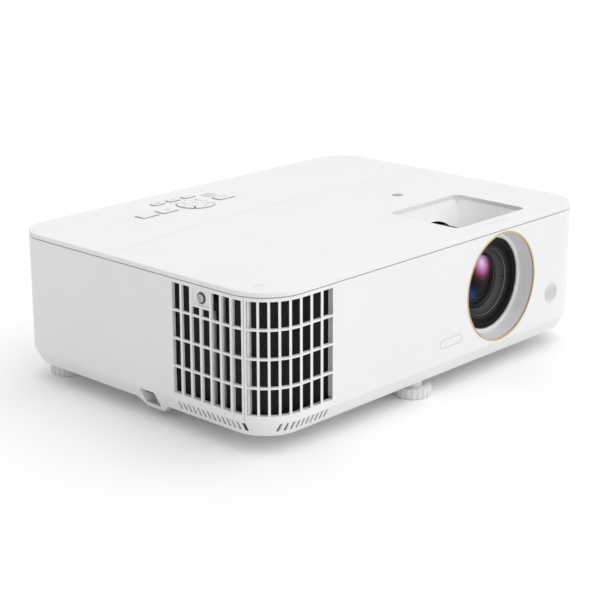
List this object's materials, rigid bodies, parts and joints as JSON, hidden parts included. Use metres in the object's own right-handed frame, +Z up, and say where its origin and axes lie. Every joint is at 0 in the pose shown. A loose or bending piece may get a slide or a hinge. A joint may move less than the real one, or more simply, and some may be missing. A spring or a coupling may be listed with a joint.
{
  "type": "home projector",
  "caption": "Low white home projector with an offset lens, zoom and focus rings in a top well, a keypad, corner exhaust grilles, rear sockets and screw-out feet.",
  "frame": {"origin": "on the table, under the middle of the case", "axes": "+Z up, +X to the right of someone facing the same way as the lens's back, -Y the way the lens throws its picture"},
  "size_m": [0.312, 0.2258, 0.0988],
  "materials": {
    "case_plastic": "fine satin texture",
    "key_plastic": "smooth satin",
    "gold_trim": "gold anodised, polished",
    "funnel_plastic": "satin grey",
    "lens_black": "matt black",
    "coated_glass": "multi-coated",
    "infrared_window": "smooth pale grey",
    "light_guide": "clear frosted",
    "foot_plastic": "satin off-white",
    "pad_rubber": "matt black",
    "screw_steel": "bright zinc",
    "insert_brass": "turned",
    "fan_plastic": "matt black",
    "lamp_plastic": "dark grey heat-resistant",
    "reflector_mirror": "dichroic mirror",
    "engine_casting": "as cast",
    "filter_glass": "dichroic segments",
    "circuit_board": "green solder mask",
    "port_metal": "nickel plated",
    "port_plastic": "black moulded"
  },
  "bodies": {
    "case": {"bottom_case": "case_plastic", "top_cover": "case_plastic", "front_bezel": "case_plastic", "right_panel": "case_plastic", "rear_panel": "case_plastic", "lens_well": "case_plastic", "lens_trim_ring": "gold_trim", "lens_funnel": "funnel_plastic", "lens_barrel": "lens_black", "front_ir_window": "infrared_window", "top_ir_window": "infrared_window", "status_lamps": "light_guide", "case_screws": "screw_steel", "mount_inserts": "insert_brass", "exhaust_fan_frame": "fan_plastic", "blower_housing": "fan_plastic", "speaker": "fan_plastic", "lamp_housing": "lamp_plastic", "lamp_reflector": "reflector_mirror", "light_engine": "engine_casting", "chip_heat_sink": "engine_casting", "colour_wheel_motor": "engine_casting", "keypad_board": "circuit_board", "main_board": "circuit_board", "power_supply": "circuit_board", "hdmi_sockets": "port_metal", "usb_sockets": "port_metal", "dsub_sockets": "port_metal", "audio_jacks": "port_plastic", "mains_inlet": "port_plastic"},
    "menu_key": {"menu_key": "key_plastic"},
    "source_key": {"source_key": "key_plastic"},
    "back_key": {"back_key": "key_plastic"},
    "volume_down_key": {"volume_down_key": "key_plastic"},
    "volume_up_key": {"volume_up_key": "key_plastic"},
    "picture_key": {"picture_key": "key_plastic"},
    "power_key": {"power_key": "key_plastic"},
    "ok_key": {"ok_key": "key_plastic"},
    "arrow_up_key": {"arrow_up_key": "key_plastic"},
    "arrow_left_key": {"arrow_left_key": "key_plastic"},
    "arrow_down_key": {"arrow_down_key": "key_plastic"},
    "arrow_right_key": {"arrow_right_key": "key_plastic"},
    "lamp_cover": {"lamp_cover": "case_plastic"},
    "lamp_cover_screw": {"lamp_cover_screw": "screw_steel"},
    "focus_ring": {"focus_ring": "lens_black"},
    "focus_group": {"focus_cell": "lens_black", "front_glass": "coated_glass"},
    "zoom_ring": {"zoom_ring": "lens_black"},
    "zoom_group": {"zoom_carriage": "lens_black", "zoom_glass": "coated_glass"},
    "exhaust_fan_rotor": {"exhaust_fan_rotor": "fan_plastic"},
    "blower_wheel": {"blower_wheel": "fan_plastic"},
    "colour_wheel": {"colour_wheel": "filter_glass"},
    "front_foot_pad": {"front_foot_pad": "pad_rubber"},
    "front_foot_wheel": {"front_foot_wheel": "foot_plastic"},
    "rear_left_foot_pad": {"rear_left_foot_pad": "pad_rubber"},
    "rear_left_foot_wheel": {"rear_left_foot_wheel": "foot_plastic"},
    "rear_right_foot_pad": {"rear_right_foot_pad": "pad_rubber"},
    "rear_right_foot_wheel": {"rear_right_foot_wheel": "foot_plastic"}
  },
  "joints": [
    {"name": "menu_key_press", "type": "slide", "parent": "case", "child": "menu_key", "axis": [0, 0, -1], "range_m": [0, 0.0005], "stiffness_N_per_m": 2000},
    {"name": "source_key_press", "type": "slide", "parent": "case", "child": "source_key", "axis": [0, 0, -1], "range_m": [0, 0.0005], "stiffness_N_per_m": 2000},
    {"name": "back_key_press", "type": "slide", "parent": "case", "child": "back_key", "axis": [0, 0, -1], "range_m": [0, 0.0005], "stiffness_N_per_m": 2000},
    {"name": "volume_down_key_press", "type": "slide", "parent": "case", "child": "volume_down_key", "axis": [0, 0, -1], "range_m": [0, 0.0005], "stiffness_N_per_m": 2000},
    {"name": "volume_up_key_press", "type": "slide", "parent": "case", "child": "volume_up_key", "axis": [0, 0, -1], "range_m": [0, 0.0005], "stiffness_N_per_m": 2000},
    {"name": "picture_key_press", "type": "slide", "parent": "case", "child": "picture_key", "axis": [0, 0, -1], "range_m": [0, 0.0005], "stiffness_N_per_m": 2000},
    {"name": "power_key_press", "type": "slide", "parent": "case", "child": "power_key", "axis": [0, 0, -1], "range_m": [0, 0.0005], "stiffness_N_per_m": 2000},
    {"name": "ok_key_press", "type": "slide", "parent": "case", "child": "ok_key", "axis": [0, 0, -1], "range_m": [0, 0.0005], "stiffness_N_per_m": 2000},
    {"name": "arrow_up_key_press", "type": "slide", "parent": "case", "child": "arrow_up_key", "axis": [0, 0, -1], "range_m": [0, 0.0005], "stiffness_N_per_m": 2000},
    {"name": "arrow_left_key_press", "type": "slide", "parent": "case", "child": "arrow_left_key", "axis": [0, 0, -1], "range_m": [0, 0.0005], "stiffness_N_per_m": 2000},
    {"name": "arrow_down_key_press", "type": "slide", "parent": "case", "child": "arrow_down_key", "axis": [0, 0, -1], "range_m": [0, 0.0005], "stiffness_N_per_m": 2000},
    {"name": "arrow_right_key_press", "type": "slide", "parent": "case", "child": "arrow_right_key", "axis": [0, 0, -1], "range_m": [0, 0.0005], "stiffness_N_per_m": 2000},
    {"name": "focus_turn", "type": "hinge", "parent": "case", "child": "focus_ring", "pos_m": [0.0613, -0.0885, 0.0575], "axis": [0, 1, 0], "range_deg": [-60, 60]},
    {"name": "focus_slide", "type": "slide", "parent": "case", "child": "focus_group", "axis": [0, 1, 0], "range_m": [-0.0015, 0.0015]},
    {"name": "zoom_turn", "type": "hinge", "parent": "case", "child": "zoom_ring", "pos_m": [0.0613, -0.0645, 0.0575], "axis": [0, 1, 0], "range_deg": [-15, 15]},
    {"name": "zoom_slide", "type": "slide", "parent": "case", "child": "zoom_group", "axis": [0, 1, 0], "range_m": [-0.004, 0.004]},
    {"name": "lamp_cover_pull", "type": "slide", "parent": "case", "child": "lamp_cover", "axis": [-1, 0, 0], "range_m": [0, 0.04]},
    {"name": "lamp_cover_screw_turn", "type": "hinge", "parent": "lamp_cover", "child": "lamp_cover_screw", "pos_m": [-0.1548, -0.0595, 0.0873], "axis": [1, 0, 0], "continuous": true},
    {"name": "exhaust_fan_spin", "type": "hinge", "parent": "case", "child": "exhaust_fan_rotor", "pos_m": [-0.1401, -0.0605, 0.0524], "axis": [-1, 0, 0], "continuous": true},
    {"name": "blower_spin", "type": "hinge", "parent": "case", "child": "blower_wheel", "pos_m": [-0.092, -0.06, 0.0258], "axis": [0, 0, 1], "continuous": true},
    {"name": "colour_wheel_spin", "type": "hinge", "parent": "case", "child": "colour_wheel", "pos_m": [-0.0557, 0.035, 0.0575], "axis": [1, 0, 0], "continuous": true},
    {"name": "front_foot_slide", "type": "slide", "parent": "case", "child": "front_foot_pad", "axis": [0, 0, -1], "range_m": [-0.00401, 0.01201]},
    {"name": "front_foot_turn", "type": "hinge", "parent": "front_foot_pad", "child": "front_foot_wheel", "pos_m": [-0.0117, -0.0989, 0.0035], "axis": [0, 0, -1], "range_deg": [-720, 2160]},
    {"name": "rear_left_foot_slide", "type": "slide", "parent": "case", "child": "rear_left_foot_pad", "axis": [0, 0, -1], "range_m": [-0.00401, 0.01201]},
    {"name": "rear_left_foot_turn", "type": "hinge", "parent": "rear_left_foot_pad", "child": "rear_left_foot_wheel", "pos_m": [-0.1313, 0.0924, 0.0035], "axis": [0, 0, -1], "range_deg": [-720, 2160]},
    {"name": "rear_right_foot_slide", "type": "slide", "parent": "case", "child": "rear_right_foot_pad", "axis": [0, 0, -1], "range_m": [-0.00401, 0.01201]},
    {"name": "rear_right_foot_turn", "type": "hinge", "parent": "rear_right_foot_pad", "child": "rear_right_foot_wheel", "pos_m": [0.1313, 0.0924, 0.0035], "axis": [0, 0, -1], "range_deg": [-720, 2160]}
  ],
  "couplings": [
    {"joint": "focus_slide", "follows": "focus_turn", "m_per_rad": 0.0014},
    {"joint": "zoom_slide", "follows": "zoom_turn", "m_per_rad": 0.015},
    {"joint": "front_foot_slide", "follows": "front_foot_turn", "m_per_rad": 0.00031831},
    {"joint": "rear_left_foot_slide", "follows": "rear_left_foot_turn", "m_per_rad": 0.00031831},
    {"joint": "rear_right_foot_slide", "follows": "rear_right_foot_turn", "m_per_rad": 0.00031831}
  ]
}
